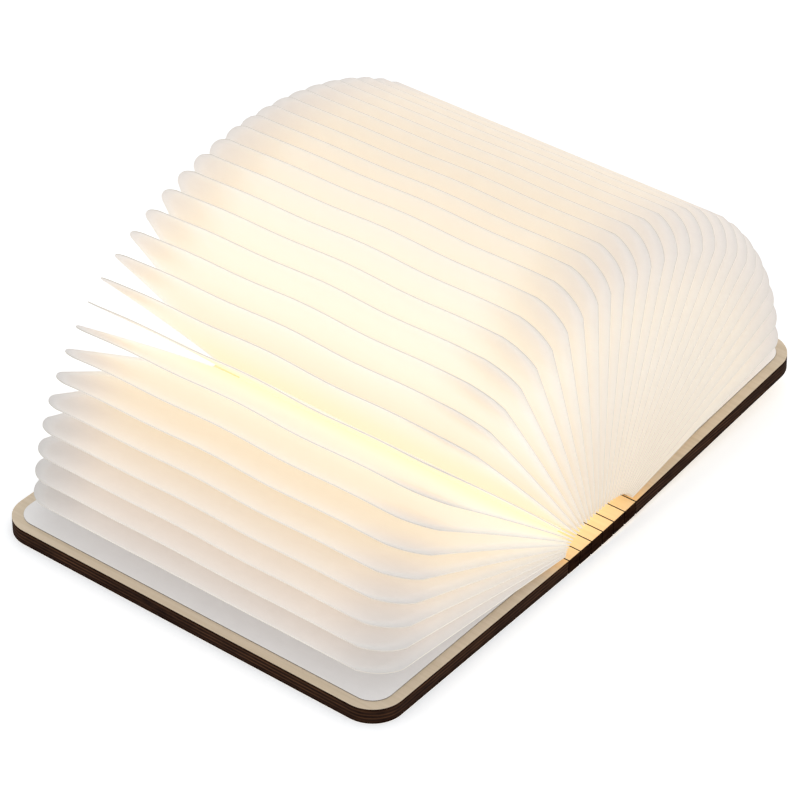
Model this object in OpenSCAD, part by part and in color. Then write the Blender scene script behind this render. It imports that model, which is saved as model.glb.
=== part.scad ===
// Folding book lamp: two plywood covers, a slatted spine that folds, and a fan of paper leaves lit inside.
// It lies open as stored: the left cover is flat on the table and the right one still rises a few degrees.
// X runs across the open covers, Y along the spine and Z up. All sizes are in millimetres.

/* [Covers] */
// Length of the book along its spine
book_height = 122; // [110:1:200]
// From the spine to the fore-edge
cover_width = 76; // [70:1:120]
board_thickness = 4.4; // [4.4:0.1:6]
// Thickness of each face ply
face_ply = 0.6; // [0.5:0.1:0.6]
cover_corner = 8.7; // [6:0.1:12]
// Angle between the covers as stored, where 180 is flat
open_angle = 175.4; // [172:0.1:179]

/* [Spine] */
spine_width = 28.8; // [28.8:0.6:36]
slat_count = 6; // [6]
// Width of each saw cut between the slats
kerf = 0.35; // [0.3:0.05:0.4]
cloth_thickness = 0.3; // [0.2:0.1:0.3]
cloth_length = 104; // [80:1:108]
// How far the cloth reaches under each endpaper
cloth_wing = 4; // [3:0.5:6]

/* [Paper] */
leaves_per_side = 18; // [12:1:18]
// How far the leaves stop short of the covers, at the fore-edge and at both ends
leaf_setback = 2.2; // [2:0.2:6]
leaf_margin = 3; // [3:0.5:6]
// How far all leaves sit towards the near end
leaf_shift = 2; // [0:0.5:2.5]
// Each far corner is cut from this far along both edges, by an arc that is flatter than a tangent one
leaf_corner = 8; // [6:0.5:10]
leaf_corner_radius = 11; // [10.5:0.5:14]
// A leaf is two sheets with air between them, glued on three sides
leaf_thickness = 0.44; // [0.4:0.02:0.46]
sheet = 0.14; // [0.1:0.02:0.16]
glue_margin = 3; // [2:0.5:4]
// Angle between a cover and its nearest leaf
left_first_angle = 6.1; // [4:0.1:7]
right_first_angle = 5.2; // [4:0.1:7]
left_pitch_angle = 4.64; // [4.5:0.01:4.7]
right_pitch_angle = 4.72; // [4.5:0.01:4.75]
// How far the leaves of each side lean away from their cover, beyond even spacing
left_lean = 1.5; // [0:0.1:3.3]
right_lean = 5.5; // [0:0.1:5.5]
// 1 leans the middle leaf of a side most; a higher number moves that towards the upright leaves
left_lean_bias = 2; // [1:0.1:2]
right_lean_bias = 1; // [1:0.1:2]
// The roots of the leaves stand on a low arch over the spine
arch_half_width = 14.4; // [13.8:0.1:14.4]
arch_rise = 6; // [6:0.1:7]
arch_lift = 0.6; // [0.6:0.1:0.9]

/* [Light] */
strip_width = 4; // [3.5:0.1:4]
strip_length = 100; // [80:1:102]
led_count = 10; // [6:1:12]

/* [Hidden] */
$fn = 48;
eps = 0.01;

// Spine
slat_pitch = spine_width / slat_count;
last_body = slat_count + 1;
bend_per_hinge = (180 - open_angle) / last_body;
core_top = board_thickness - face_ply;
arch_span = 89; // degrees of the half arch that the roots of one side take

leaf_depth = cover_width - leaf_setback;
leaf_height = book_height - 2 * leaf_margin;

// Endpapers
paper_inset = 3;
endpaper_thickness = 0.2;
endpaper_gap = 0.5; // from the first saw cut

// Power: a battery and a board lie in bays of the left core, which the face plies close
fit_gap = 0.3;
battery_size = [30, 40, 2.8];
battery_corner = 1.5;
battery_seal = [24, 2.4, 0.4];
board_size = [28, 38, 0.6];
bay_x = -53; // outer side of both bays, from the middle of the spine
battery_y = -30;
board_y = 15.6;
socket_size = [7.5, 5.6, 2.5];
socket_wall = 0.3;
socket_tongue = [3.6, 3.4, 0.6];
socket_chamfer = 0.9;
socket_overhang = 1; // of the socket past the board
board_lift = 0.05; // glue under the board
wire_radius = 0.5;
wire_spread = 5;
reed_radius = 0.9;
reed_length = 12;
reed_lead_radius = 0.25;
reed_lead = 1.2; // straight length before the wire turns
reed_pad = 0.6;
reed_gap = 1.6; // from the board
reed_y = 21;
magnet_radius = 4;
magnet_thickness = 2.5;

// The flat lead from the board to the light strip lies in a groove across the first slats
strip_slat = 3;
strip_thickness = 0.3;
led_size = [2.8, 3.5, 0.7];
lead_y = book_height / 2 - 21;
lead_width = 1.6;
lead_thickness = 0.5;
lead_lift = 0.05; // above the floor of its groove
lead_inset = 2; // from the board's edge to where it is soldered
groove_width = 2;
groove_depth = 0.9;
riser_width = 0.6;
riser_slot = 1.2;

board_x = bay_x + fit_gap;
board_z = face_ply + board_lift;
board_top = board_z + board_size[2];
board_edge = board_x + board_size[0];
socket_x = board_x + board_size[0] / 2;
reed_x = board_edge + reed_gap + reed_radius;
bay_right = reed_x + reed_radius + fit_gap;

function two_digits(n) = n < 10 ? str("0", n) : str(n);

leaf_count = 2 * leaves_per_side;

// ---- The folding spine ----

// The saw cut number i, from 0 at the left cover; every hinge axis lies along Y at the boards' inner face
function cut_x(i) = -spine_width / 2 + i * slat_pitch;

function turned(p, x, a) =
    let (u = p[0] - x, w = p[1] - board_thickness)
    [x + u * cos(a) - w * sin(a), board_thickness + u * sin(a) + w * cos(a)];

// Where a point [x, z] of the flat spine lies once it is bent as stored, carried by body j
function bent_point(p, j) = j == 0 ? p : bent_point(turned(p, cut_x(j - 1), bend_per_hinge), j - 1);

left_edge = -spine_width / 2 - cover_width;
right_edge = bent_point([-left_edge, 0], last_body)[0];

module raised_at(x) {
    translate([x, 0, board_thickness])
        rotate([0, -bend_per_hinge, 0])
            translate([-x, 0, -board_thickness])
                children();
}

// Carries what is drawn on the flat book to body j: 0 is the left cover, then the slats, then the right cover
module on_body(j) {
    if (j == 0) translate([-(left_edge + right_edge) / 2, 0, 0]) children();
    else on_body(j - 1) raised_at(cut_x(j - 1)) children();
}

module on_right_cover() {
    on_body(last_body) mirror([1, 0, 0]) children();
}

// ---- Shapes that several pieces share ----

// A sheet from x = 0 towards -x, with its two far corners rounded
module rounded_sheet(depth, height, corner) {
    translate([-depth + corner, -height / 2]) square([depth - corner, height]);
    translate([-depth, -height / 2 + corner]) square([depth, height - 2 * corner]);
    for (side = [-1, 1])
        translate([-depth + corner, side * (height / 2 - corner)])
            circle(corner);
}

module board_outline() {
    translate([-spine_width / 2 - kerf / 2, 0])
        rounded_sheet(cover_width - kerf / 2, book_height, cover_corner);
}

module ply(bottom, top) {
    translate([0, 0, bottom])
        linear_extrude(top - bottom)
            board_outline();
}

module cloth_rebate() {
    length = cloth_length + 2 * fit_gap;
    translate([cut_x(0) - cloth_wing - fit_gap, -length / 2, board_thickness - cloth_thickness])
        cube([cloth_wing + 1, length, cloth_thickness + 1]);
}

module lead_groove(from_x, to_x) {
    translate([from_x, lead_y - groove_width / 2, board_thickness - groove_depth])
        cube([to_x - from_x, groove_width, groove_depth + 1]);
}

// ---- Left cover ----

module left_outer_ply() {
    color("tan") on_body(0) ply(0, face_ply);
}

module battery_bay() {
    translate([bay_x, battery_y - fit_gap, 0])
        cube([battery_size[0] + 2 * fit_gap, battery_size[1] + 2 * fit_gap, board_thickness]);
}

module board_bay() {
    bay_length = board_size[1] + 2 * fit_gap;
    translate([bay_x, board_y - fit_gap, 0])
        cube([bay_right - bay_x, bay_length, board_thickness]);
    translate([socket_x - socket_size[0] / 2 - fit_gap, board_y, 0])
        cube([socket_size[0] + 2 * fit_gap, book_height, board_thickness]);
}

// The wires from the battery pass through this channel between the bays
module wire_channel() {
    width = wire_spread + 4 * wire_radius + fit_gap;
    translate([socket_x - width / 2, battery_y + battery_size[1] - 1, 0])
        cube([width, board_y - battery_y - battery_size[1] + 2, board_thickness]);
}

module left_core() {
    color("sienna") on_body(0) difference() {
        ply(face_ply, core_top);
        battery_bay();
        board_bay();
        wire_channel();
        lead_groove(bay_right - 1, cut_x(0) + 1);
    }
}

module left_inner_ply() {
    color("burlywood") on_body(0) difference() {
        ply(core_top, board_thickness);
        cloth_rebate();
        lead_groove(lead_start - fit_gap, cut_x(0) + 1);
    }
}

module endpaper() {
    translate([cut_x(0) - endpaper_gap, 0, board_thickness])
        linear_extrude(endpaper_thickness)
            rounded_sheet(cover_width - paper_inset - endpaper_gap, book_height - 2 * paper_inset,
                          cover_corner - paper_inset);
}

module left_endpaper() {
    color("white") on_body(0) endpaper();
}

// ---- Right cover ----

module right_outer_ply() {
    color("tan") on_right_cover() ply(0, face_ply);
}

module right_core() {
    color("sienna") on_right_cover() difference() {
        ply(face_ply, core_top);
        translate([reed_x, reed_y + reed_length / 2, 0])
            cylinder(r = magnet_radius + fit_gap / 2, h = board_thickness);
    }
}

module right_inner_ply() {
    color("burlywood") on_right_cover() difference() {
        ply(core_top, board_thickness);
        cloth_rebate();
    }
}

module right_endpaper() {
    color("white") on_right_cover() endpaper();
}

module magnet() {
    color("silver") on_right_cover()
        translate([reed_x, reed_y + reed_length / 2, face_ply])
            cylinder(r = magnet_radius, h = magnet_thickness);
}

// ---- Slats and the cloth that joins them ----

module slat(k) {
    left = cut_x(k - 1) + kerf / 2;
    color("burlywood") on_body(k) difference() {
        translate([left, -book_height / 2, 0])
            cube([slat_pitch - kerf, book_height, board_thickness]);
        if (k < strip_slat) lead_groove(left - 1, left + slat_pitch + 1);
        if (k == strip_slat) lead_groove(left - 1, lead_end + riser_slot);
    }
}

module hinge_cloth() {
    color("linen") difference() {
        union() {
            on_body(0) cloth_wing_piece();
            on_body(last_body) mirror([1, 0, 0]) cloth_wing_piece();
            for (k = [1:slat_count]) on_body(k)
                translate([cut_x(k - 1), -cloth_length / 2, board_thickness])
                    cube([slat_pitch, cloth_length, cloth_thickness]);
        }
        on_body(strip_slat)
            translate([lead_end - riser_slot / 4, lead_y - groove_width / 2, 0])
                cube([riser_slot, groove_width, 2 * board_thickness]);
    }
}

// The cloth steps down from the slats into the cover's rebate
module cloth_wing_piece() {
    translate([cut_x(0) - cloth_wing, -cloth_length / 2, board_thickness - cloth_thickness])
        cube([cloth_wing, cloth_length, cloth_thickness]);
    translate([cut_x(0) - endpaper_gap + fit_gap / 2, -cloth_length / 2, board_thickness - cloth_thickness])
        cube([endpaper_gap - fit_gap / 2, cloth_length, 2 * cloth_thickness]);
}

// ---- Light ----

strip_left = cut_x(strip_slat - 1) + (slat_pitch - strip_width) / 2;
strip_bottom = board_thickness + cloth_thickness;
lead_start = board_edge - lead_inset;
lead_end = strip_left + 0.5;
lead_bottom = board_thickness - groove_depth + lead_lift;

module light_strip() {
    color("gold") on_body(strip_slat)
        translate([strip_left, -strip_length / 2, strip_bottom])
            cube([strip_width, strip_length, strip_thickness]);
}

module leds() {
    led_pitch = strip_length / led_count;
    color("lightyellow") on_body(strip_slat)
        for (k = [0:led_count - 1])
            translate([strip_left + (strip_width - led_size[0]) / 2,
                       -strip_length / 2 + (k + 0.5) * led_pitch - led_size[1] / 2,
                       strip_bottom + strip_thickness])
                cube(led_size);
}

// One straight stretch of the lead, drawn on the flat book
module lead_stretch(from_x, to_x, bottom, top) {
    translate([from_x, lead_y - lead_width / 2, bottom])
        cube([to_x - from_x, lead_width, top - bottom]);
}

module light_lead() {
    lead_top = lead_bottom + lead_thickness;
    color("firebrick") {
        on_body(0) lead_stretch(lead_start, lead_start + riser_width, board_top, lead_top);
        for (j = [0:strip_slat]) {
            low = j == 0 ? lead_start : cut_x(j - 1);
            high = j == strip_slat ? lead_end + riser_width : cut_x(j);
            on_body(j) lead_stretch(low, high, lead_bottom, lead_top);
        }
        on_body(strip_slat) lead_stretch(lead_end, lead_end + riser_width, lead_bottom, strip_bottom);
    }
}

// ---- Power and switching, in the left core ----

module battery() {
    inner = battery_size[0] - 2 * battery_corner;
    color("silver") on_body(0) translate([board_x, battery_y, face_ply]) {
        linear_extrude(battery_size[2]) {
            translate([battery_corner, 0]) square([inner, battery_size[1] - battery_seal[1]]);
            translate([0, battery_corner])
                square([battery_size[0], battery_size[1] - battery_seal[1] - 2 * battery_corner]);
            for (x = [battery_corner, battery_size[0] - battery_corner],
                 y = [battery_corner, battery_size[1] - battery_seal[1] - battery_corner])
                translate([x, y]) circle(battery_corner);
        }
        translate([(battery_size[0] - battery_seal[0]) / 2, battery_size[1] - battery_seal[1] - eps, 0])
            cube([battery_seal[0], battery_seal[1] + eps, battery_seal[2]]);
    }
}

module battery_wires() {
    start = battery_y + battery_size[1] - battery_seal[1] + 1;
    color("red") on_body(0)
        for (side = [-1, 1])
            translate([socket_x + side * wire_spread / 2, start, board_top + wire_radius])
                rotate([-90, 0, 0])
                    cylinder(r = wire_radius, h = board_y - start + 3);
}

// One component on the board: its place from the board's corner, and its size
module component(x, y, size) {
    translate([x, y, board_size[2] - eps]) cube(size);
}

module control_board() {
    tab_length = book_height / 2 - socket_overhang - board_y - board_size[1];
    color("darkgreen") on_body(0) translate([board_x, board_y, board_z]) {
        cube(board_size);
        // a tab carries the socket to the edge of the cover
        translate([(board_size[0] - socket_size[0]) / 2, board_size[1] - eps, 0])
            cube([socket_size[0], tab_length + eps, board_size[2]]);
        component(4, 14, [5, 5, 1]); // charger
        component(13, 15, [4, 4, 1.8]); // inductor
        component(20, 16, [3, 3, 1]); // lamp driver
        component(5, 24, [3, 1.6, 0.8]);
        component(12, 24, [3, 1.6, 0.8]);
        component(19, 26, [1.6, 3, 0.8]);
    }
}

module charging_socket() {
    profile = [
        [-socket_size[0] / 2, socket_chamfer], [-socket_size[0] / 2 + socket_chamfer, 0],
        [socket_size[0] / 2 - socket_chamfer, 0], [socket_size[0] / 2, socket_chamfer],
        [socket_size[0] / 2, socket_size[2]], [-socket_size[0] / 2, socket_size[2]],
    ];
    mouth_scale = [(socket_size[0] - 2 * socket_wall) / socket_size[0],
                   (socket_size[2] - 2 * socket_wall) / socket_size[2]];
    color("silver") on_body(0)
        translate([socket_x, book_height / 2, board_top]) {
            rotate([90, 0, 0]) difference() {
                linear_extrude(socket_size[1]) polygon(profile);
                translate([0, socket_wall, -eps])
                    linear_extrude(socket_size[1] - socket_wall)
                        polygon([for (p = profile) [p[0] * mouth_scale[0], p[1] * mouth_scale[1]]]);
            }
            translate([-socket_tongue[0] / 2, -socket_size[1] + socket_wall - eps,
                       (socket_size[2] - socket_tongue[2]) / 2])
                cube(socket_tongue);
        }
}

module reed_switch() {
    axis_z = face_ply + reed_radius + board_lift;
    color("lightcyan") on_body(0) {
        translate([reed_x, reed_y, axis_z]) rotate([-90, 0, 0]) cylinder(r = reed_radius, h = reed_length);
        for (end = [0, 1]) {
            y = reed_y + end * reed_length + (2 * end - 1) * reed_lead;
            translate([reed_x, min(y, reed_y + end * reed_length) - eps, axis_z])
                rotate([-90, 0, 0])
                    cylinder(r = reed_lead_radius, h = reed_lead + 2 * eps);
            // each wire turns to a pad on the board
            translate([board_edge - 1, y - reed_pad / 2, axis_z - reed_pad / 2])
                cube([reed_x + reed_pad / 2 - board_edge + 1, reed_pad, reed_pad]);
        }
    }
}

// ---- Paper leaves ----

// Leaf m of a side, counted from its cover
function leaf_angle(m, first, pitch, lean, bias) =
    first + pitch * (m - 1) + lean * sin(180 * pow((m - 1) / leaves_per_side, bias));

function left_leaf_angle(m) =
    leaf_angle(m, left_first_angle, left_pitch_angle, left_lean, left_lean_bias);

function right_leaf_angle(m) =
    leaf_angle(m, right_first_angle, right_pitch_angle, right_lean, right_lean_bias);

function arch_angle(m) = arch_span * (m - 0.5) / leaves_per_side;

// A leaf from x = 0 towards -x
module leaf_outline() {
    reach = leaf_depth - leaf_corner;
    half = leaf_height / 2 - leaf_corner;
    inset = (sqrt(2 * leaf_corner_radius * leaf_corner_radius - leaf_corner * leaf_corner) - leaf_corner) / 2;
    translate([-reach, -leaf_height / 2]) square([reach, leaf_height]);
    translate([-leaf_depth, -half]) square([leaf_corner, 2 * half]);
    for (side = [-1, 1])
        intersection() {
            translate([-leaf_depth, side > 0 ? half : -half - leaf_corner]) square(leaf_corner);
            translate([inset - reach, side * (half - inset)]) circle(leaf_corner_radius);
        }
}

module paper_pocket() {
    difference() {
        translate([0, 0, -leaf_thickness / 2])
            linear_extrude(leaf_thickness)
                leaf_outline();
        translate([1, 0, -leaf_thickness / 2 + sheet])
            linear_extrude(leaf_thickness - 2 * sheet)
                rounded_sheet(leaf_depth - glue_margin + 1, leaf_height - 2 * glue_margin,
                              leaf_corner - glue_margin);
    }
}

module leaf_of_side(m, angle) {
    root_x = -arch_half_width * cos(arch_angle(m));
    root_z = board_thickness + arch_lift + arch_rise * sin(arch_angle(m));
    translate([root_x, -leaf_shift, root_z])
        rotate([0, angle, 0])
            paper_pocket();
}

// Leaf k, counted from the left cover to the right one
module leaf(k) {
    from_right = leaf_count + 1 - k;
    color("ivory")
        if (k <= leaves_per_side) on_body(0) leaf_of_side(k, left_leaf_angle(k));
        else on_right_cover() leaf_of_side(from_right, right_leaf_angle(from_right));
}

// ---- Every piece, one at a time or all together ----

left_outer_ply();
left_core();
left_inner_ply();
left_endpaper();
for (k = [1:slat_count])
    slat(k);
right_outer_ply();
right_core();
right_inner_ply();
right_endpaper();
hinge_cloth();
light_strip();
leds();
light_lead();
battery();
battery_wires();
control_board();
charging_socket();
reed_switch();
magnet();
for (k = [1:leaf_count])
    leaf(k);
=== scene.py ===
"""Folding book lamp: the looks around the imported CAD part. Lengths here are in metres, in the row frame."""

import math

import bmesh
import bpy
import numpy as np
from mathutils import Matrix, Vector


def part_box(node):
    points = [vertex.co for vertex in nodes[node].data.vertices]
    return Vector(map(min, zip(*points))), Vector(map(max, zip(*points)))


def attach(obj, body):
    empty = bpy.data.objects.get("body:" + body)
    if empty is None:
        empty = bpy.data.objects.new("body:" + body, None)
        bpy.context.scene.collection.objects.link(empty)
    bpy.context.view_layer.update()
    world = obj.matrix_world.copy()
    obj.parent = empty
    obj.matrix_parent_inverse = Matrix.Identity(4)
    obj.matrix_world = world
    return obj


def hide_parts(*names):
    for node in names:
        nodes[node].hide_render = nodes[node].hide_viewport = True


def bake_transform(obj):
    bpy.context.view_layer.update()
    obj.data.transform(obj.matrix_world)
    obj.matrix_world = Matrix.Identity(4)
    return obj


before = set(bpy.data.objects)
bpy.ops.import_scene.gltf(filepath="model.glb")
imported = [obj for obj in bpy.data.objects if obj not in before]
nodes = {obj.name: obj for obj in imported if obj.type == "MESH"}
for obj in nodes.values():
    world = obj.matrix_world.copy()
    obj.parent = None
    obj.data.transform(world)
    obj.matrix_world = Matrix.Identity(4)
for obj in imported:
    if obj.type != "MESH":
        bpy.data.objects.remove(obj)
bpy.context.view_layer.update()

MM = 0.001

# ---- Sizes shared with part.scad ----

BOOK_HEIGHT = 122 * MM
COVER_WIDTH = 76 * MM
BOARD = 4.4 * MM
SPINE_WIDTH = 28.8 * MM
SLATS = 6
BEND = math.radians(180 - 175.4) / (SLATS + 1)
CLOTH = 0.3 * MM
CLOTH_LENGTH = 104 * MM
CLOTH_WING = 4 * MM
ENDPAPER_GAP = 0.5 * MM
LEAVES_PER_SIDE = 18
LEAF_CORNER = 8 * MM
LEAF_CORNER_RADIUS = 11 * MM
LEAD_Y = 40 * MM

LEAVES = 2 * LEAVES_PER_SIDE
HALF_SLAT = SPINE_WIDTH / SLATS / 2


# ---- Places on the bent spine ----


def cut_x(i):
    """Saw cut i on the flat book, from 0 at the left cover."""
    return -SPINE_WIDTH / 2 + i * SPINE_WIDTH / SLATS


def bent(x, z, body):
    """Where a point of the flat book lies as stored, when body number body carries it."""
    for j in range(body - 1, -1, -1):
        u, w = x - cut_x(j), z - BOARD
        x = cut_x(j) + u * math.cos(BEND) - w * math.sin(BEND)
        z = BOARD + u * math.sin(BEND) + w * math.cos(BEND)
    return x, z


LEFT_EDGE = -SPINE_WIDTH / 2 - COVER_WIDTH
RIGHT_EDGE = bent(-LEFT_EDGE, 0, SLATS + 1)[0]
CENTRE = (LEFT_EDGE + RIGHT_EDGE) / 2


def place(x, y, z, body):
    """A point of the flat book in the row frame."""
    bx, bz = bent(x, z, body)
    return Vector((bx - CENTRE, y, bz))


# ---- Camera at the photograph's view ----

CAMERA_AZIMUTH = math.radians(-52.483)
CAMERA_ELEVATION = math.radians(36.188)
CAMERA_ROLL = math.radians(0.862)
CAMERA_TARGET = Vector((-19.758, -11.584, 34.0)) * MM
CAMERA_DISTANCE = 858.543 * MM
FOCAL_PIXELS = 3452.66
FRAME_PIXELS = 800
SENSOR_WIDTH = 36


def make_camera():
    """The lens and the place come from one fit to the edges and saw cuts in the photograph."""
    right = Vector((math.cos(CAMERA_AZIMUTH), math.sin(CAMERA_AZIMUTH), 0))
    level = math.cos(CAMERA_ELEVATION)
    back = Vector(
        (
            math.sin(CAMERA_AZIMUTH) * level,
            -math.cos(CAMERA_AZIMUTH) * level,
            math.sin(CAMERA_ELEVATION),
        )
    )
    up = back.cross(right)
    x_axis = right * math.cos(CAMERA_ROLL) + up * math.sin(CAMERA_ROLL)
    y_axis = up * math.cos(CAMERA_ROLL) - right * math.sin(CAMERA_ROLL)
    data = bpy.data.cameras.new("camera")
    data.sensor_width = SENSOR_WIDTH
    data.lens = SENSOR_WIDTH * FOCAL_PIXELS / FRAME_PIXELS
    data.clip_start = 0.01
    data.clip_end = 20
    camera = bpy.data.objects.new("camera", data)
    rotation = Matrix((x_axis, y_axis, back)).transposed().to_4x4()
    camera.matrix_world = Matrix.Translation(CAMERA_TARGET + back * CAMERA_DISTANCE) @ rotation
    bpy.context.scene.collection.objects.link(camera)
    bpy.context.scene.camera = camera


# ---- Material helpers ----


class Nodes:
    """Short names for building one material's node tree. A value is a socket, a number or a colour."""

    def __init__(self, name, roughness):
        self.material = bpy.data.materials.new(name)
        self.material.use_nodes = True
        self.tree = self.material.node_tree
        self.shader = self.tree.nodes["Principled BSDF"]
        self.shader.inputs["Roughness"].default_value = roughness

    def add(self, kind, **values):
        node = self.tree.nodes.new(kind)
        for key, value in values.items():
            setattr(node, key, value)
        return node

    def link(self, output, socket):
        self.tree.links.new(output, socket)

    def put(self, value, socket):
        """Sets a number or a colour on the socket, and links anything else to it."""
        if isinstance(value, (int, float)):
            socket.default_value = value
        elif isinstance(value, tuple):
            socket.default_value = (*value, 1)
        else:
            self.link(value, socket)

    def coordinates(self, output="Object"):
        return self.add("ShaderNodeTexCoord").outputs[output]

    def scaled(self, vector, scale, rotation=(0, 0, 0)):
        mapping = self.add("ShaderNodeMapping")
        mapping.inputs["Scale"].default_value = scale
        mapping.inputs["Rotation"].default_value = rotation
        self.link(vector, mapping.inputs["Vector"])
        return mapping.outputs["Vector"]

    def noise(self, vector, scale=1.0, detail=4, rough=0.55, distortion=0.0):
        node = self.add("ShaderNodeTexNoise")
        node.inputs["Scale"].default_value = scale
        node.inputs["Detail"].default_value = detail
        node.inputs["Roughness"].default_value = rough
        node.inputs["Distortion"].default_value = distortion
        self.link(vector, node.inputs["Vector"])
        return node.outputs["Fac"]

    def bands(self, direction, scale, distortion=0.0):
        """Even waves along one axis, from 0 to 1."""
        node = self.add("ShaderNodeTexWave", wave_type="BANDS", bands_direction=direction)
        node.inputs["Scale"].default_value = scale
        node.inputs["Distortion"].default_value = distortion
        self.link(self.coordinates(), node.inputs["Vector"])
        return node.outputs["Fac"]

    def ramp(self, value, stops):
        node = self.add("ShaderNodeValToRGB")
        elements = node.color_ramp.elements
        while len(elements) < len(stops):
            elements.new(0.5)
        for element, (position, colour) in zip(elements, stops):
            element.position = position
            element.color = (*colour, 1)
        self.link(value, node.inputs["Fac"])
        return node.outputs["Color"]

    def shades(self, value, dark, light, low=0.3, high=0.7):
        """The colour goes from dark, where value is low, to light, where it is high."""
        return self.ramp(value, ((low, dark), (high, light)))

    def mix(self, factor, a, b):
        """Colour a where factor is 0, colour b where it is 1."""
        node = self.add("ShaderNodeMix", data_type="RGBA")
        colour_a, colour_b = (socket for socket in node.inputs if socket.type == "RGBA")
        self.put(factor, node.inputs["Factor"])
        self.put(a, colour_a)
        self.put(b, colour_b)
        return next(socket for socket in node.outputs if socket.type == "RGBA")

    def math(self, operation, *values, clamp=False):
        node = self.add("ShaderNodeMath", operation=operation, use_clamp=clamp)
        for socket, value in zip(node.inputs, values):
            self.put(value, socket)
        return node.outputs["Value"]

    def product(self, *values):
        result = values[0]
        for value in values[1:]:
            result = self.math("MULTIPLY", result, value)
        return result

    def attribute(self, name):
        return self.add("ShaderNodeAttribute", attribute_name=name).outputs["Fac"]

    def axis(self, vector, name):
        node = self.add("ShaderNodeSeparateXYZ")
        self.link(vector, node.inputs["Vector"])
        return node.outputs[name]

    def bump(self, height, strength, distance):
        node = self.add("ShaderNodeBump")
        node.inputs["Strength"].default_value = strength
        node.inputs["Distance"].default_value = distance
        self.link(height, node.inputs["Height"])
        self.link(node.outputs["Normal"], self.shader.inputs["Normal"])

    def colour(self, value):
        self.put(value, self.shader.inputs["Base Color"])

    def specular(self, value):
        self.put(value, self.shader.inputs["Specular IOR Level"])

    def metallic(self, value):
        self.put(value, self.shader.inputs["Metallic"])

    def glow(self, colour, strength):
        self.put(colour, self.shader.inputs["Emission Color"])
        self.put(strength, self.shader.inputs["Emission Strength"])


# ---- Wood ----

MAPLE_LIGHT = (0.71, 0.595, 0.45)
MAPLE_DARK = (0.59, 0.48, 0.33)
# painted lamp light: the orange tint of the maple faces beside the spine, on their outer faces as well
MAPLE_PAINTED_LAMPLIGHT = (0.57, 0.38, 0.20)
SLAT_LIGHT = (0.74, 0.56, 0.34)
SLAT_DARK = (0.62, 0.44, 0.24)
BURNT = (0.010, 0.004, 0.003)
BURNT_LIGHT = (0.034, 0.015, 0.008)
BURNT_STRIPE = (0.115, 0.052, 0.024)

GRAIN_SCALE = (900, 14, 900)
BROAD_GRAIN_SCALE = (120, 6, 120)
BROAD_GRAIN_SHARE = 0.6
STREAK_SCALE = (260, 260, 1100)
WOOD_SPECULAR = 0.4
PLY_SCALE = 310
PLY_SHARPNESS = 3.0
PLY_LEVEL = 1.8
PATCH_SCALE = (70, 70, 420)
BURNT_SPECULAR = 0.03

FACE_TILT = 0.6  # a surface whose normal has more Z than this is a flat face and no cut edge

# painted lamp light: an orange glow on the maple's top faces beside the spine and on the slats' tops
WOOD_GLOW = (1.0, 0.56, 0.17)
WOOD_GLOW_LEVEL = 0.40
WOOD_GLOW_REACH = 14 * MM
SLAT_GLOW = ((0.0, (1.0, 0.60, 0.23)), (1.0, (1.0, 0.76, 0.34)))  # at the near end and further in
SLAT_GLOW_LEVEL = 0.50
SLAT_FADE = 0.22
SLAT_RISE = 0.16
SLAT_RISE_LENGTH = 8 * MM


def grain(n):
    """Fine and broad wood grain that runs along Y."""
    lines = n.noise(n.scaled(n.coordinates(), GRAIN_SCALE), detail=5, rough=0.6, distortion=0.3)
    broad = n.noise(n.scaled(n.coordinates(), BROAD_GRAIN_SCALE), detail=2)
    return lines, broad


def burnt_edge(n):
    """Laser-cut edge: near black, a little lighter in streaks along the plies."""
    streaks = n.noise(n.scaled(n.coordinates(), STREAK_SCALE))
    return n.shades(streaks, BURNT, BURNT_LIGHT, low=0.35, high=0.75)


def on_faces(n):
    """1 on a board's flat faces and 0 on its cut edges."""
    upright = n.axis(n.coordinates("Normal"), "Z")
    return n.math("GREATER_THAN", n.math("ABSOLUTE", upright), FACE_TILT)


def lit_top(n):
    """1 on the faces that look up at the lamp's light and 0 elsewhere."""
    return n.math("GREATER_THAN", n.axis(n.coordinates("Normal"), "Z"), FACE_TILT)


def beside_spine(n):
    """1 at the spine's edge, falling to 0 where the lamp's light on the covers ends."""
    outward = n.math("SUBTRACT", n.math("ABSOLUTE", n.axis(n.coordinates(), "X")), SPINE_WIDTH / 2)
    near = n.math("SUBTRACT", 1.0, n.math("DIVIDE", outward, WOOD_GLOW_REACH), clamp=True)
    return n.math("MULTIPLY", near, near)


def wood(name, dark, light, roughness, painted_lamplight=None):
    """Grain on the flat faces, burnt where the laser cut; the mask given last says where the faces get an
    orange tint of painted lamp light.
    """
    n = Nodes(name, roughness)
    lines, broad = grain(n)
    stripes = n.shades(lines, dark, light, high=0.6)
    face_colour = n.mix(n.math("MULTIPLY", broad, BROAD_GRAIN_SHARE), stripes, light)
    if painted_lamplight:
        face_colour = n.mix(painted_lamplight(n), face_colour, MAPLE_PAINTED_LAMPLIGHT)
    face = on_faces(n)
    n.colour(n.mix(face, burnt_edge(n), face_colour))
    n.specular(n.math("MULTIPLY", face, WOOD_SPECULAR))
    n.bump(lines, strength=0.12, distance=0.05 * MM)
    return n


def maple_material():
    """Bare maple with painted lamp light beside the spine: an orange tint in its colour, also on the outer
    faces, and a glow on its top faces.
    """
    n = wood("maple_veneer", MAPLE_DARK, MAPLE_LIGHT, roughness=0.5, painted_lamplight=beside_spine)
    n.glow(WOOD_GLOW, n.product(lit_top(n), beside_spine(n), WOOD_GLOW_LEVEL))
    return n.material


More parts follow.
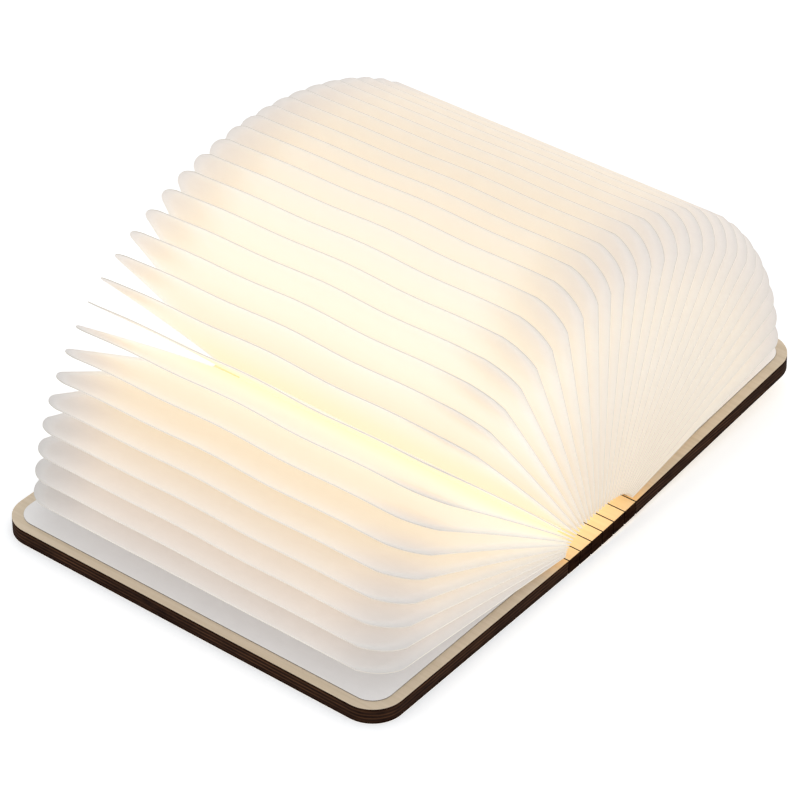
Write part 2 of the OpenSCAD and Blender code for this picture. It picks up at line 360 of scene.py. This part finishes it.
def core_material():
    """The cut edge of the core, burnt, with its plies as broken lighter stripes."""
    n = Nodes("burnt_core", roughness=0.75)
    n.specular(BURNT_SPECULAR)
    plies = n.math("POWER", n.bands("Z", PLY_SCALE, distortion=0.4), PLY_SHARPNESS)
    patches = n.noise(n.scaled(n.coordinates(), PATCH_SCALE), detail=3)
    n.colour(n.mix(n.product(plies, patches, patches, PLY_LEVEL), burnt_edge(n), BURNT_STRIPE))
    return n.material


def slat_material():
    """Painted lamp light glows on the tops of the slats, most in the middle of the spine and away from its
    near end.
    """
    n = wood("lit_slat", SLAT_DARK, SLAT_LIGHT, roughness=0.55)
    across = n.math("DIVIDE", n.axis(n.coordinates(), "X"), SPINE_WIDTH / 2)
    middle = n.math("SUBTRACT", SLAT_GLOW_LEVEL, n.product(across, across, SLAT_FADE))
    from_end = n.math("ADD", n.axis(n.coordinates(), "Y"), BOOK_HEIGHT / 2)
    inner = n.math("DIVIDE", from_end, SLAT_RISE_LENGTH, clamp=True)
    level = n.math("ADD", middle, n.math("MULTIPLY", inner, SLAT_RISE))
    n.glow(n.ramp(inner, SLAT_GLOW), n.math("MULTIPLY", lit_top(n), level))
    return n.material


# ---- Paper and cloth ----

PAPER_DARK = (0.735, 0.716, 0.692)
PAPER_PALE = (0.765, 0.746, 0.722)
# painted shade: the leaves' edges are of darker paper than their faces, so that they show as thin lines
# between the leaves
SHADED_EDGE_DARK = (0.55, 0.52, 0.47)
SHADED_EDGE_PALE = (0.61, 0.58, 0.53)
ENDPAPER_DARK = (0.68, 0.672, 0.665)
ENDPAPER_PALE = (0.72, 0.712, 0.705)
# painted shadow: the dark brown of the endpapers' cut sides, a thin shadow line round each endpaper
ENDPAPER_EDGE_SHADOW = (0.16, 0.13, 0.11)
CLOTH_DARK = (0.60, 0.52, 0.40)
CLOTH_PALE = (0.80, 0.73, 0.60)

CLOUD_SHARE = 0.5
CLOUD_SCALE = 260
EDGE_CLOUD_SCALE = 700
STRAND_SCALE = (700, 160, 700)
STRAND_TURN = (0, 0, 0.5)
THREAD_SCALE = 900

# The colour of a leaf's light by its strength.
PAPER_GLOW = (
    (0.10, (0.95, 0.87, 0.86)),
    (0.20, (1.0, 0.83, 0.70)),
    (0.28, (1.0, 0.82, 0.58)),
    (0.33, (1.0, 0.92, 0.76)),
    (0.36, (1.0, 0.86, 0.56)),
)
ROOT_GLOW = (1.0, 0.68, 0.32)
EDGE_GLOW = (1.0, 0.93, 0.80)
# painted lamp light on the endpapers' faces, weaker and cooler on the left one
LEFT_ENDPAPER_GLOW = (0.130, 0.128, 0.130)
RIGHT_ENDPAPER_GLOW = (0.260, 0.226, 0.198)
LAMP_GLOW = (1.0, 0.86, 0.62)
CLOTH_GLOW_LEVEL = 0.7


def fibre(n, cloud_scale=CLOUD_SCALE):
    """The cloudy fibre of bonded paper."""
    cloud = n.noise(n.coordinates(), cloud_scale, detail=3)
    strands = n.scaled(n.coordinates(), STRAND_SCALE, STRAND_TURN)
    streak = n.noise(strands, detail=5, rough=0.7, distortion=1.2)
    return n.math("ADD", n.math("MULTIPLY", cloud, CLOUD_SHARE), n.math("MULTIPLY", streak, 1 - CLOUD_SHARE))


def leaf_face_material():
    """Paper lit from inside; attributes say how strongly each place shines and how near the root it is."""
    n = Nodes("lit_paper", roughness=0.85)
    fibres = fibre(n)
    n.colour(n.shades(fibres, PAPER_DARK, PAPER_PALE))
    glow = n.attribute("glow")
    n.glow(n.mix(n.attribute("root"), n.ramp(glow, PAPER_GLOW), ROOT_GLOW), glow)
    n.bump(fibres, strength=0.06, distance=0.04 * MM)
    return n.material


def leaf_edge_material():
    """The glued edge of a leaf, two sheets thick, its paper darkened with painted shade; the attribute rim
    says how strongly it shines.
    """
    n = Nodes("paper_edge", roughness=0.8)
    n.colour(n.shades(fibre(n, EDGE_CLOUD_SCALE), SHADED_EDGE_DARK, SHADED_EDGE_PALE))
    n.glow(EDGE_GLOW, n.attribute("rim"))
    return n.material


def endpaper_material():
    """The endpapers, with painted lamp light as a glow on their faces, more and warmer on the right one, and
    a painted shadow line on their cut sides.
    """
    n = Nodes("endpaper", roughness=0.8)
    fibres = fibre(n)
    face = on_faces(n)
    n.colour(n.mix(face, ENDPAPER_EDGE_SHADOW, n.shades(fibres, ENDPAPER_DARK, ENDPAPER_PALE)))
    right = n.math("GREATER_THAN", n.axis(n.coordinates(), "X"), 0.0)
    n.glow(n.mix(right, LEFT_ENDPAPER_GLOW, RIGHT_ENDPAPER_GLOW), face)
    n.bump(fibres, strength=0.08, distance=0.05 * MM)
    return n.material


def cloth_material():
    """Woven cloth, with the light of the lamps that lie on it painted on as a glow."""
    n = Nodes("woven_cloth", roughness=0.9)
    threads = n.product(n.bands("X", THREAD_SCALE), n.bands("Y", THREAD_SCALE))
    n.colour(n.shades(threads, CLOTH_DARK, CLOTH_PALE, low=0.0, high=1.0))
    n.glow(LAMP_GLOW, CLOTH_GLOW_LEVEL)
    n.bump(threads, strength=0.4, distance=0.1 * MM)
    return n.material


# ---- Plain hardware ----

LED_GLOW_LEVEL = 0.85
STRIP_GLOW_LEVEL = 0.62
BRUSH_SCALE = (3000, 120, 3000)


def speckled(name, dark, light, roughness, scale=400, bump=0.05):
    """Colour and surface vary finely between two shades."""
    n = Nodes(name, roughness)
    spots = n.noise(n.coordinates(), scale)
    n.colour(n.shades(spots, dark, light))
    n.bump(spots, strength=bump, distance=0.05 * MM)
    return n


def brushed(name, dark, light, roughness):
    """Metal with fine strokes along Y."""
    n = Nodes(name, roughness)
    n.metallic(1.0)
    strokes = n.noise(n.scaled(n.coordinates(), BRUSH_SCALE))
    n.colour(n.shades(strokes, dark, light))
    n.bump(strokes, strength=0.1, distance=0.03 * MM)
    return n


def led_material():
    n = speckled("led_phosphor", (1.0, 0.80, 0.45), (1.0, 0.90, 0.60), roughness=0.4)
    n.glow(LAMP_GLOW, LED_GLOW_LEVEL)
    return n.material


def strip_material():
    n = speckled("strip_enamel", (0.70, 0.66, 0.56), (0.80, 0.76, 0.66), roughness=0.45)
    # painted lamp light: the strip's enamel glows with the light of its LEDs
    n.glow(LAMP_GLOW, STRIP_GLOW_LEVEL)
    return n.material


def wire_material():
    return speckled("wire_sleeve", (0.45, 0.02, 0.02), (0.60, 0.04, 0.03), roughness=0.4).material


def cell_material():
    return brushed("cell_foil", (0.55, 0.56, 0.58), (0.72, 0.73, 0.75), roughness=0.35).material


def board_material():
    return speckled("board_mask", (0.01, 0.12, 0.05), (0.02, 0.20, 0.08), roughness=0.4).material


def socket_material():
    return brushed("socket_steel", (0.50, 0.50, 0.51), (0.66, 0.66, 0.67), roughness=0.3).material


def reed_material():
    n = speckled("reed_glass", (0.60, 0.75, 0.70), (0.72, 0.85, 0.80), roughness=0.08, scale=200)
    n.shader.inputs["Transmission Weight"].default_value = 0.6
    return n.material


def magnet_material():
    n = speckled("nickel", (0.62, 0.61, 0.58), (0.74, 0.73, 0.70), roughness=0.15, scale=250, bump=0.02)
    n.metallic(1.0)
    return n.material


# ---- Meshes ----


def mesh_object(name, vertices, faces, materials, smooth=True):
    mesh = bpy.data.meshes.new(name)
    mesh.from_pydata([tuple(v) for v in vertices], [], faces)
    for material in materials:
        mesh.materials.append(material)
    mesh.update()
    obj = bpy.data.objects.new(name, mesh)
    bpy.context.scene.collection.objects.link(obj)
    if smooth:
        mesh.shade_smooth()
    return obj


def rim_length(rows, steps):
    """How many faces the rim between two grids has."""
    return 2 * (rows - 1) + 2 * steps


def grid_faces(rows, steps):
    """Faces of two like grids, each rows by steps + 1 vertices, and last those of the rim between them."""
    columns = steps + 1
    count = rows * columns
    faces = []
    for i in range(rows - 1):
        for j in range(steps):
            a = i * columns + j
            faces.append((a, a + 1, a + columns + 1, a + columns))
            faces.append((count + a, count + a + columns, count + a + columns + 1, count + a + 1))
    rim = list(range(columns))
    rim += [i * columns + steps for i in range(1, rows)]
    rim += [(rows - 1) * columns + j for j in range(steps - 1, -1, -1)]
    rim += [i * columns for i in range(rows - 2, 0, -1)]
    for a, b in zip(rim, rim[1:] + rim[:1]):
        faces.append((b, a, count + a, count + b))
    return faces


def fix_normals(obj):
    work = bmesh.new()
    work.from_mesh(obj.data)
    bmesh.ops.recalc_face_normals(work, faces=work.faces)
    work.to_mesh(obj.data)
    work.free()


def spread(low, high, steps):
    return [low + (high - low) * i / steps for i in range(steps + 1)]


# ---- Shape of a leaf ----
#
# k counts the leaves from the left, u is the depth from a leaf's root and y runs along the spine.

CORNER_STEPS = 8
DEPTH_STEPS = 16
HEIGHT_STEPS = 28
GLUED_SHARE = 0.64  # the two sheets of a leaf without the air between them

WAVE = 0.9 * MM
WAVE_BUILD = 3.5  # leaves from a cover over which the waves grow
BELLY_SHARE = 0.4
LONG_WAVE = 90 * MM
LONG_SHARE = 0.35
LONG_DRIFT = 0.10  # radians by which a wave moves on from leaf to leaf
SHORT_WAVE = 37 * MM
SHORT_SHARE = 0.25
SHORT_DRIFT = 0.15


def leaf_frame(node):
    """Where a CAD leaf lies: its root, the directions to its fore-edge and across it, and its sizes."""
    points = np.array([v.co for v in node.data.vertices], float)
    flat = points[:, [0, 2]]
    _, _, axes = np.linalg.svd(flat - flat.mean(0))
    along, normal = axes
    if along @ (flat.mean(0) - [0, BOARD]) < 0:
        along = -along
    if normal[0] < 0:
        normal = -normal
    depths = flat @ along
    heights = flat @ normal
    root = along * depths.min() + normal * (heights.min() + heights.max()) / 2
    low, high = points[:, 1].min(), points[:, 1].max()
    return {
        "root": Vector((root[0], (low + high) / 2, root[1])),
        "along": Vector((along[0], 0, along[1])),
        "normal": Vector((normal[0], 0, normal[1])),
        "depth": float(depths.max() - depths.min()),
        "half": float(high - low) / 2,
        "thickness": float(heights.max() - heights.min()),
    }


def leaf_rows(depth, half):
    """(depth, half height) of each row of a leaf's grid, from its root round the corners to its end."""
    inset = (math.sqrt(2 * LEAF_CORNER_RADIUS**2 - LEAF_CORNER**2) - LEAF_CORNER) / 2
    straight = depth - LEAF_CORNER
    rows = [(straight * i / DEPTH_STEPS, half) for i in range(DEPTH_STEPS)]
    first = math.asin(inset / LEAF_CORNER_RADIUS)
    for i in range(CORNER_STEPS + 1):
        turn = first + (math.pi / 2 - 2 * first) * i / CORNER_STEPS
        u = straight - inset + LEAF_CORNER_RADIUS * math.sin(turn)
        rows.append((u, half - LEAF_CORNER - inset + LEAF_CORNER_RADIUS * math.cos(turn)))
    return rows


def wave(k, s, y):
    """How far leaf k stands off its flat plane, at share s of its depth.

    Neighbours differ little, so the closed book holds them.
    """
    from_cover = min(k, LEAVES + 1 - k) - 0.5
    strength = WAVE * (1 - math.exp(-from_cover / WAVE_BUILD))
    belly = BELLY_SHARE * math.sin(math.pi * s)
    long_ripple = LONG_SHARE * math.sin(2 * math.pi * y / LONG_WAVE + LONG_DRIFT * k)
    short_ripple = SHORT_SHARE * math.sin(2 * math.pi * y / SHORT_WAVE + SHORT_DRIFT * k)
    return strength * (belly + s * s * (long_ripple + short_ripple))


# ---- How strongly each place of a leaf shines ----

GAP_LEAF = 10  # the first leaf right of the open gap
LOW_LIGHT = 0.16
GAP_LIGHT = 0.325
LOW_LIGHT_POWER = 0.71
BRIGHT_LEAF = 13
BRIGHT_SPREAD = 6
MOST_LIGHT = 0.34
RIGHT_LIGHT = 0.27

ROOT_SHARE_LEAVES = (9, 10, 14, 18, 24)
ROOT_SHARES = (1.22, 0.92, 0.76, 0.78, 1.08)  # these leaves' light at the root, for 1 at the fore-edge
ROOT_REACH = 35 * MM
ROOT_SPREAD = 6

CORNER_REACH = 24 * MM
NEAR_CORNER = 0.40
NEAR_CORNER_RISE = 0.25
FAR_CORNER = 0.14
FAR_CORNER_RISE = 0.41

LOW_EDGE_LIGHT = 0.31
LOW_EDGE_FALL = 0.04
HIGH_EDGE_SHARE = 0.78


def leaf_rise(k):
    """0 at the lowest left leaf, 1 from the leaf at the open gap on."""
    return min(1.0, (k - 1) / (GAP_LEAF - 1))


def leaf_light(k):
    """How strongly leaf k shines at its fore-edge: most just beyond the open gap."""
    if k < GAP_LEAF:
        return LOW_LIGHT + (GAP_LIGHT - LOW_LIGHT) * leaf_rise(k) ** LOW_LIGHT_POWER
    beyond = (k - BRIGHT_LEAF) / BRIGHT_SPREAD
    return RIGHT_LIGHT + (MOST_LIGHT - RIGHT_LIGHT) * math.exp(-beyond * beyond)


def face_light(k, u, depth):
    """The low leaves and the rightmost ones shine more towards the root, the others less."""
    at_root = float(np.interp(k, ROOT_SHARE_LEAVES, ROOT_SHARES))
    return leaf_light(k) * (at_root + (1 - at_root) * u / depth)


def edge_light(k):
    """The edges of the low leaves catch the light; higher up they are darker than the paper."""
    if k < GAP_LEAF:
        return LOW_EDGE_LIGHT - LOW_EDGE_FALL * leaf_rise(k)
    return HIGH_EDGE_SHARE * leaf_light(k)


def shade(k, u, y, depth, half):
    """The outer corners of a leaf shine least, most so at the far end of the lowest leaves."""
    rise = leaf_rise(k)
    if y > 0:
        darkest = FAR_CORNER + FAR_CORNER_RISE * rise * rise
    else:
        darkest = NEAR_CORNER + NEAR_CORNER_RISE * rise
    near = min(1.0, math.hypot(depth - u, half - abs(y)) / CORNER_REACH)
    return darkest + (1 - darkest) * near * near * (3 - 2 * near)


def root_warmth(k, u):
    """1 at the root of the upright and right leaves, falling to 0 at ROOT_REACH from it."""
    near = max(0.0, 1 - u / ROOT_REACH)
    return near * max(0.0, min(1.0, (k - GAP_LEAF) / ROOT_SPREAD))


# ---- Leaves ----


def leaf_points(k, base, rows):
    """The vertices of leaf k, and the attributes that its materials read at each of them."""
    depth, half = base["depth"], base["half"]
    vertices = []
    attributes = {"glow": [], "rim": [], "root": []}
    for side in (1, -1):
        for i, (u, h) in enumerate(rows):
            for j in range(HEIGHT_STEPS + 1):
                y = h * (2 * j / HEIGHT_STEPS - 1)
                glued = i == len(rows) - 1 or j in (0, HEIGHT_STEPS)
                thickness = base["thickness"] * (GLUED_SHARE if glued else 1)
                off = wave(k, u / depth, y) + side * thickness / 2
                vertices.append(base["root"] + base["along"] * u + Vector((0, y, 0)) + base["normal"] * off)
                shaded = shade(k, u, y, depth, half)
                attributes["glow"].append(face_light(k, u, depth) * shaded)
                attributes["rim"].append(edge_light(k) * shaded)
                attributes["root"].append(root_warmth(k, u))
    return vertices, attributes


def make_leaf(k, face, edge):
    """Leaf k with its waves, in the place of the CAD leaf."""
    name = f"leaf_{k:02d}"
    base = leaf_frame(nodes[name])
    rows = leaf_rows(base["depth"], base["half"])
    vertices, attributes = leaf_points(k, base, rows)
    faces = grid_faces(len(rows), HEIGHT_STEPS)
    leaf = mesh_object(f"paper_{name}", vertices, faces, [face, edge])
    first_edge = len(faces) - rim_length(len(rows), HEIGHT_STEPS)
    on_edge = [i >= first_edge for i in range(len(faces))]
    leaf.data.polygons.foreach_set("material_index", [int(e) for e in on_edge])
    leaf.data.polygons.foreach_set("use_smooth", [not e for e in on_edge])
    for attribute, values in attributes.items():
        leaf.data.attributes.new(attribute, "FLOAT", "POINT").data.foreach_set("value", values)
    fix_normals(leaf)
    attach(leaf, name)
    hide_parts(name)


def make_leaves():
    face = leaf_face_material()
    edge = leaf_edge_material()
    for k in range(1, LEAVES + 1):
        make_leaf(k, face, edge)


# ---- The cloth and the lead, laid along the bent spine ----

NEAR_CUT = 0.1 * MM
WING_RISE = ENDPAPER_GAP - 0.15 * MM  # how near a cut the wings rise from under the endpapers
WING_STEPS = 3
CLOTH_STEPS = 4
CLOTH_LENGTH_STEPS = 26

LEAD_WIDTH = 1.6 * MM
LEAD_THICKNESS = 0.5 * MM
LEAD_BOTTOM = BOARD - 0.85 * MM
LEAD_CUTS = 3
LEAD_PAST_CUT = 1.5 * MM
LEAD_STEPS_BEFORE = 5
LEAD_STEPS_BEYOND = 4
LEAD_WIDTH_STEPS = 3


def ribbon(name, stations, y_low, y_high, y_steps, thickness, material):
    """A closed band through stations, each (x, z, body) of its underside on the flat book."""
    vertices = []
    for rise in (0, thickness):
        for x, z, body in stations:
            for j in range(y_steps + 1):
                y = y_low + (y_high - y_low) * j / y_steps
                vertices.append(place(x, y, z + rise, body))
    obj = mesh_object(name, vertices, grid_faces(len(stations), y_steps), [material], smooth=False)
    fix_normals(obj)
    return obj


def blend_at(piece):
    """Bakes the piece's placement into its mesh."""
    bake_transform(piece)


def cloth_stations(i):
    """The cloth over saw cut i, from mid-slat to mid-slat, or with a wing under an endpaper at a cover."""
    cut = cut_x(i)
    if i == 0:
        stations = [(x, BOARD - CLOTH, i) for x in spread(cut - CLOTH_WING, cut - WING_RISE, WING_STEPS)]
        stations += [(cut - NEAR_CUT, BOARD, i)]
    else:
        stations = [(x, BOARD, i) for x in spread(cut - HALF_SLAT, cut - NEAR_CUT, CLOTH_STEPS)]
    after = i + 1
    if i == SLATS:
        stations += [(cut + NEAR_CUT, BOARD, after)]
        wing = spread(cut + WING_RISE, cut + CLOTH_WING, WING_STEPS)
        stations += [(x, BOARD - CLOTH, after) for x in wing]
    else:
        stations += [(x, BOARD, after) for x in spread(cut + NEAR_CUT, cut + HALF_SLAT, CLOTH_STEPS)]
    return stations


def make_cloth():
    """One strip over each saw cut."""
    material = cloth_material()
    y_low, y_high = -CLOTH_LENGTH / 2, CLOTH_LENGTH / 2
    for i in range(SLATS + 1):
        name = f"hinge_cloth_{i + 1}"
        piece = ribbon(name, cloth_stations(i), y_low, y_high, CLOTH_LENGTH_STEPS, CLOTH, material)
        blend_at(piece)
        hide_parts("hinge_cloth")


def make_lead(material):
    """The lead from the board to the strip, in one piece for each saw cut that it passes."""
    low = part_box("light_lead")[0]
    ends = [low.x + CENTRE]
    ends += [cut_x(i) + HALF_SLAT for i in range(LEAD_CUTS - 1)]
    ends += [cut_x(LEAD_CUTS - 1) + LEAD_PAST_CUT]
    y_low, y_high = LEAD_Y - LEAD_WIDTH / 2, LEAD_Y + LEAD_WIDTH / 2
    for i in range(LEAD_CUTS):
        cut = cut_x(i)
        stations = [(x, LEAD_BOTTOM, i) for x in spread(ends[i], cut - NEAR_CUT, LEAD_STEPS_BEFORE)]
        beyond = spread(cut + NEAR_CUT, ends[i + 1], LEAD_STEPS_BEYOND)
        stations += [(x, LEAD_BOTTOM, i + 1) for x in beyond]
        name = f"light_lead_{i + 1}"
        piece = ribbon(name, stations, y_low, y_high, LEAD_WIDTH_STEPS, LEAD_THICKNESS, material)
        blend_at(piece)
        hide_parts("light_lead")


# ---- Floor and light ----

FLOOR_HALF = 3.0
FLOOR_DROP = 0.1 * MM
FLOOR_DARK = (0.93, 0.93, 0.93)
FLOOR_PALE = (0.94, 0.94, 0.94)
FLOOR_SPECULAR = 0.1
FLOOR_LIFT = (0.33, 0.34, 0.35)  # keeps the pale floor as even and cool as in the photograph
WORLD_LEVEL = 0.75


def make_floor():
    half = FLOOR_HALF
    corners = [(-half, -half, 0), (half, -half, 0), (half, half, 0), (-half, half, 0)]
    n = Nodes("floor", roughness=0.9)
    n.specular(FLOOR_SPECULAR)
    n.colour(n.shades(n.noise(n.coordinates(), 3, detail=2), FLOOR_DARK, FLOOR_PALE))
    n.glow(FLOOR_LIFT, 1.0)
    floor = mesh_object("floor", corners, [(0, 1, 2, 3)], [n.material], smooth=False)
    floor.location.z = -FLOOR_DROP


def soft_box(name, place_at, size, power):
    """A round soft light that looks at the middle of the floor."""
    data = bpy.data.lights.new(name, "AREA")
    data.shape = "DISK"
    data.size = size
    data.energy = power
    light = bpy.data.objects.new(name, data)
    light.location = place_at
    light.rotation_euler = (-Vector(place_at)).to_track_quat("-Z", "Y").to_euler()
    bpy.context.scene.collection.objects.link(light)


def make_light():
    """A white world and two soft boxes from above."""
    scene = bpy.context.scene
    scene.world = bpy.data.worlds.new("studio")
    scene.world.use_nodes = True
    background = scene.world.node_tree.nodes["Background"]
    background.inputs["Color"].default_value = (1, 1, 1, 1)
    background.inputs["Strength"].default_value = WORLD_LEVEL
    soft_box("key", place_at=(-0.7, -0.6, 1.4), size=1.2, power=2)
    soft_box("top", place_at=(0.2, 0.3, 1.6), size=1.4, power=2)
    scene.view_settings.view_transform = "Standard"


# ---- Put together ----


def dress_nodes():
    """Gives the CAD pieces that stay as they are their materials."""
    maple = maple_material()
    core = core_material()
    slat = slat_material()
    paper = endpaper_material()
    looks = {
        "left_outer_ply": maple,
        "left_inner_ply": maple,
        "right_outer_ply": maple,
        "right_inner_ply": maple,
        "left_core": core,
        "right_core": core,
        "left_endpaper": paper,
        "right_endpaper": paper,
        **{f"slat_{k}": slat for k in range(1, SLATS + 1)},
        "leds": led_material(),
        "light_strip": strip_material(),
        "battery_wires": wire_material(),
        "battery": cell_material(),
        "control_board": board_material(),
        "charging_socket": socket_material(),
        "reed_switch": reed_material(),
        "magnet": magnet_material(),
    }
    for name, material in looks.items():
        nodes[name].data.materials.clear()
        nodes[name].data.materials.append(material)
    return looks


make_camera()
looks = dress_nodes()
make_leaves()
make_cloth()
make_lead(looks["battery_wires"])
make_floor()
make_light()
